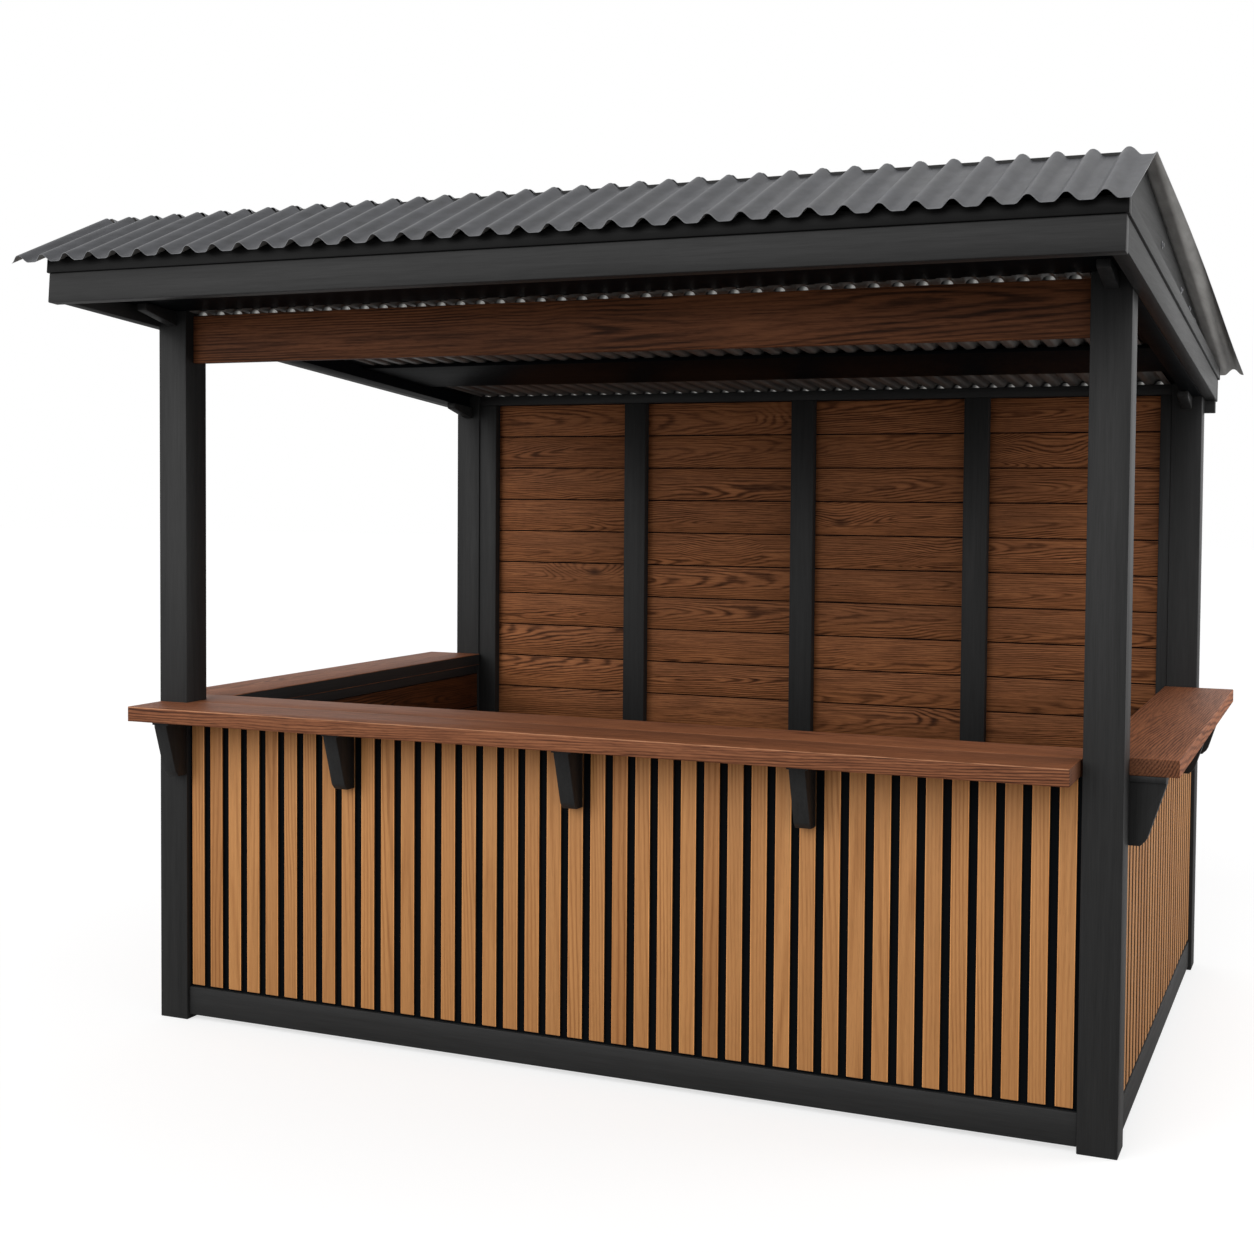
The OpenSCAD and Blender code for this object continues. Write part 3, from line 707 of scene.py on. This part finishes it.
# Corrugated sheets: one smooth wave on a grid, repeated across, given its thickness and cut at its edges
sheets = {
    "thick": 0.0014, "steps": 20, "rise": (0.0, 0.33), "fall": (0.37, 0.70), "spare": 0.01,
    "edgeFacing": 0.95, "underFacing": -0.4,
    "depths": {"front_roof_sheet": 0.023, "back_roof_sheet": 0.023, "ceiling_sheet": 0.02},
}


def smoothStep(value, start, end):
    share = min(max((value - start) / (end - start), 0), 1)
    return share * share * (3 - 2 * share)


def sheetCorners(node):  # a sheet's lower left and outer right corners at both ends, and its wave's width
    low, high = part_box(node)
    points = [v.co.copy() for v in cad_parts[node].data.vertices]
    middle = (low.y + high.y) / 2
    ends = [[p for p in points if p.y < middle], [p for p in points if p.y > middle]]
    lefts = [min((p for p in end if p.x < low.x + modelling["snap"]), key=lambda p: p.z) for end in ends]
    rights = [max(end, key=lambda p: p.x) for end in ends]
    stops = sorted({round(p.x, 5) for p in points})
    return lefts, rights, stops[4] - stops[0]


for node, depth in sheets["depths"].items():
    (front, rear), (frontRight, rearRight), pitch = sheetCorners(node)
    fall = rear - front
    bpy.ops.object.select_all(action="DESELECT")
    bpy.ops.mesh.primitive_grid_add(x_subdivisions=sheets["steps"], y_subdivisions=2, size=1)
    sheet = bpy.context.active_object
    for corner in sheet.data.vertices:
        across, along = corner.co.x + 0.5, corner.co.y + 0.5
        lift = smoothStep(across, *sheets["rise"]) - smoothStep(across, *sheets["fall"])
        corner.co = (across * pitch, along * fall.length, lift * (depth - sheets["thick"]))
    repeat = sheet.modifiers.new("waves", "ARRAY")
    repeat.count = math.ceil((rearRight.x - front.x) / pitch - sheets["spare"])
    repeat.use_relative_offset = False
    repeat.use_constant_offset = True
    repeat.constant_offset_displace = (pitch, 0, 0)
    repeat.use_merge_vertices = True
    repeat.merge_threshold = modelling["mergeGap"]
    bpy.ops.object.modifier_apply(modifier=repeat.name)
    wallThick = sheet.modifiers.new("thickness", "SOLIDIFY")
    wallThick.thickness = sheets["thick"]
    wallThick.offset = 1
    wallThick.material_offset_rim = 1
    sheetLooks = [roofSheet, sheetEdge, sheetUnder]  # faces, cut edges, underside
    # the ceiling sheet's cut edges take the painted-shade black
    if node == "ceiling_sheet":
        sheetLooks = [ceilingSheet, paintedShadeGrain["X"], ceilingSheet]
    for look in sheetLooks:
        sheet.data.materials.append(look)
    bpy.ops.object.modifier_apply(modifier=wallThick.name)
    sheet.rotation_euler = (math.atan2(fall.z, fall.y), 0, 0)
    sheet.location = front
    bpy.ops.object.transform_apply(location=True, rotation=True, scale=True)
    cutAway(sheet, front, (-1, 0, 0))
    rightRun = rearRight - frontRight
    cutAway(sheet, frontRight, (rightRun.y, -rightRun.x, 0))
    for face in sheet.data.polygons:
        if abs(face.normal.x) > sheets["edgeFacing"]:
            face.material_index = 1
        elif face.normal.z < sheets["underFacing"]:
            face.material_index = 2
    finishPiece(sheet, camelName(node), sheetLooks, "roof_sheet", node)
print("sheets laid")

# Wave fillers: foam domes in the ceiling's waves, on the header board and on the back rail, carrying painted
# glints of daylight
fillers = {
    "half": 0.017, "thick": 0.01, "crest": 0.37, "lift": 0.0003, "frontTall": 0.012, "backTall": 0.0115,
    "segments": 24, "rings": 12,
}
(front, rear), (frontRight, rearRight), pitch = sheetCorners("ceiling_sheet")
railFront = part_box("back_top_rail")[0].y
railTop = front.lerp(rear, (railFront - front.y) / (rear.y - front.y)).z
headerLow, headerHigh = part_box("header_board")
for sideName, tall, faceY, topZ in (("Front", fillers["frontTall"], headerLow.y, headerHigh.z),
                                    ("Back", fillers["backTall"], railFront, railTop)):
    bpy.ops.object.select_all(action="DESELECT")
    bpy.ops.mesh.primitive_uv_sphere_add(segments=fillers["segments"], ring_count=fillers["rings"],
                                         radius=1, scale=(fillers["half"], fillers["thick"], tall))
    dome = bpy.context.active_object
    bpy.ops.object.transform_apply(location=True, rotation=True, scale=True)
    cutAway(dome, (0, 0, 0), (0, 0, -1))
    # painted glint: dark at each dome's left end, bright at its right end
    daylight = dome.data.attributes.new("daylight", "FLOAT", "POINT")
    across = [0.5 + v.co.x / fillers["half"] / 2 for v in dome.data.vertices]
    daylight.data.foreach_set("value", across)
    row = []
    crest = front.x + fillers["crest"] * pitch
    while crest < frontRight.x - fillers["half"]:
        row.append(copyMoved(dome, (crest, faceY + fillers["thick"], topZ + fillers["lift"])))
        crest += pitch
    bpy.data.objects.remove(dome)
    finishPiece(joinAll(row), "paintedGlintFillers" + sideName, [paintedGlintFoam], "roof_sheet")
print("wave fillers set")

# Bolts on the gables: a washer and a domed six-sided head, copied along each gable
bolts = {
    "places": (-0.63, -0.11, 0.14, 0.31),  # metres behind the stall's middle
    "washer": 0.011, "washerSides": 20, "head": 0.0065, "headSides": 6, "tall": 0.004,
}
low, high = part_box("gable_boards")
gablePoints = [v.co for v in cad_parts["gable_boards"].data.vertices]
eave = min(gablePoints, key=lambda p: p.y)
ridge = max(gablePoints, key=lambda p: p.z)
tail = max(gablePoints, key=lambda p: p.y)
for sideName, side, face in (("Left", -1, low.x), ("Right", 1, high.x)):
    turned = (0, math.pi / 2, 0)
    bpy.ops.object.select_all(action="DESELECT")
    bpy.ops.mesh.primitive_cylinder_add(
        vertices=bolts["washerSides"], radius=bolts["washer"], depth=bolts["tall"] / 2,
        location=(face + side * bolts["tall"] / 4, 0, 0), rotation=turned)
    washer = bpy.context.active_object
    bpy.ops.object.transform_apply(location=True, rotation=True, scale=True)
    softenEdges(washer, bolts["tall"] / 8, 1)
    bpy.ops.object.select_all(action="DESELECT")
    bpy.ops.mesh.primitive_cylinder_add(
        vertices=bolts["headSides"], radius=bolts["head"], depth=bolts["tall"],
        location=(face + side * bolts["tall"], 0, 0), rotation=turned)
    head = bpy.context.active_object
    bpy.ops.object.transform_apply(location=True, rotation=True, scale=True)
    softenEdges(head, bolts["tall"] / 6, 2)
    bolt = joinAll([head, washer])
    row = []
    for place in bolts["places"]:  # halfway between the trim and the sheet
        boltY = stallMiddle.y + place
        trimZ = eave.lerp(tail, (boltY - eave.y) / (tail.y - eave.y)).z
        sheetZ = ridge.lerp(tail, (boltY - ridge.y) / (tail.y - ridge.y)).z
        row.append(copyMoved(bolt, (0, boltY, (trimZ + sheetZ) / 2)))
    bpy.data.objects.remove(bolt)
    finishPiece(joinAll(row), "gableBolts" + sideName, [sheetEdge], "roof_sheet")
print("gable bolts set")

# Stage: pale floor, white surroundings, soft studio light
stage = {
    "floorSize": 120, "floorDrop": 0.0005, "floor": (176, 176, 176), "floorGlow": 0.66, "ambient": 0.62,
    "key": {"from": (-0.2, -0.85, 0.5), "away": 8, "spread": 60, "power": 1.5},
    "fills": {
        "left": {"place": (-3.6, -4.2, 2.4), "aim": (-1.2, 0, 1.2), "wide": 2.5, "power": 26},
        "right": {"place": (5, 0.9, 1.7), "aim": (1.5, 0.1, 1.0), "wide": 2, "power": 75},
    },
}
bpy.ops.object.select_all(action="DESELECT")
bpy.ops.mesh.primitive_plane_add(size=stage["floorSize"], location=(0, 0, -stage["floorDrop"]))
floor = bpy.context.active_object
floor.name = "studioFloor"
floorPaint = bpy.data.materials.new("studioFloor")
floorPaint.use_nodes = True
tree = floorPaint.node_tree
tree.nodes.clear()
output = tree.nodes.new("ShaderNodeOutputMaterial")
matt = tree.nodes.new("ShaderNodeBsdfDiffuse")
matt.inputs["Color"].default_value = shade(*stage["floor"])
glow = tree.nodes.new("ShaderNodeEmission")
seen = tree.nodes.new("ShaderNodeLightPath").outputs["Is Camera Ray"]
feed(tree, numberMath(tree, "MULTIPLY", seen, stage["floorGlow"]), glow.inputs["Strength"])
both = tree.nodes.new("ShaderNodeAddShader")
feed(tree, matt.outputs[0], both.inputs[0])
feed(tree, glow.outputs[0], both.inputs[1])
feed(tree, both.outputs[0], output.inputs["Surface"])
floor.data.materials.append(floorPaint)

world = bpy.data.worlds.new("studio")
world.use_nodes = True
bpy.context.scene.world = world
tree = world.node_tree
sky = tree.nodes["Background"]
sky.inputs["Color"].default_value = (1, 1, 1, 1)
lightPath = tree.nodes.new("ShaderNodeLightPath")
seen = lightPath.outputs["Is Camera Ray"]
for mirrored in ("Is Glossy Ray", "Is Transmission Ray"):  # metal and glass show the white surroundings too
    seen = numberMath(tree, "MAXIMUM", seen, lightPath.outputs[mirrored])
feed(tree, remap(tree, seen, 0, 1, stage["ambient"], 1), sky.inputs["Strength"])

key = stage["key"]
toKey = Vector(key["from"])
turned = toKey.to_track_quat("Z", "Y").to_euler()
bpy.ops.object.light_add(type="SUN", location=toKey * key["away"], rotation=turned)
keyLight = bpy.context.active_object
keyLight.name = "keyLight"
keyLight.data.energy = key["power"]
keyLight.data.angle = math.radians(key["spread"])
for sideName, fill in stage["fills"].items():
    turned = (Vector(fill["place"]) - Vector(fill["aim"])).to_track_quat("Z", "Y").to_euler()
    bpy.ops.object.light_add(type="AREA", location=fill["place"], rotation=turned)
    fillLight = bpy.context.active_object
    fillLight.name = sideName + "Fill"
    fillLight.data.shape = "DISK"
    fillLight.data.size = fill["wide"]
    fillLight.data.energy = fill["power"]

# Camera, fitted to the photograph's view, placed from the middle of the stall's ground plan
view = {
    "out": (2.0604, -5.5488), "up": 1.6811, "turn": 0.4035, "down": 0.0377, "roll": 0.0072,
    "lens": 49.84, "sensor": 36, "shiftX": -0.00185, "shiftY": -0.0505,
}
facing = (Matrix.Rotation(view["turn"], 3, "Z") @ Matrix.Rotation(math.pi / 2 - view["down"], 3, "X")
          @ Matrix.Rotation(view["roll"], 3, "Z"))
place = (stallMiddle.x + view["out"][0], stallMiddle.y + view["out"][1], view["up"])
bpy.ops.object.camera_add(location=place, rotation=facing.to_euler())
camera = bpy.context.active_object
camera.data.sensor_width = view["sensor"]
camera.data.lens = view["lens"]
camera.data.shift_x = view["shiftX"]
camera.data.shift_y = view["shiftY"]
camera.data.dof.use_dof = False
bpy.context.scene.camera = camera
bpy.context.scene.view_settings.view_transform = "Standard"
print("stage, lights and camera set")
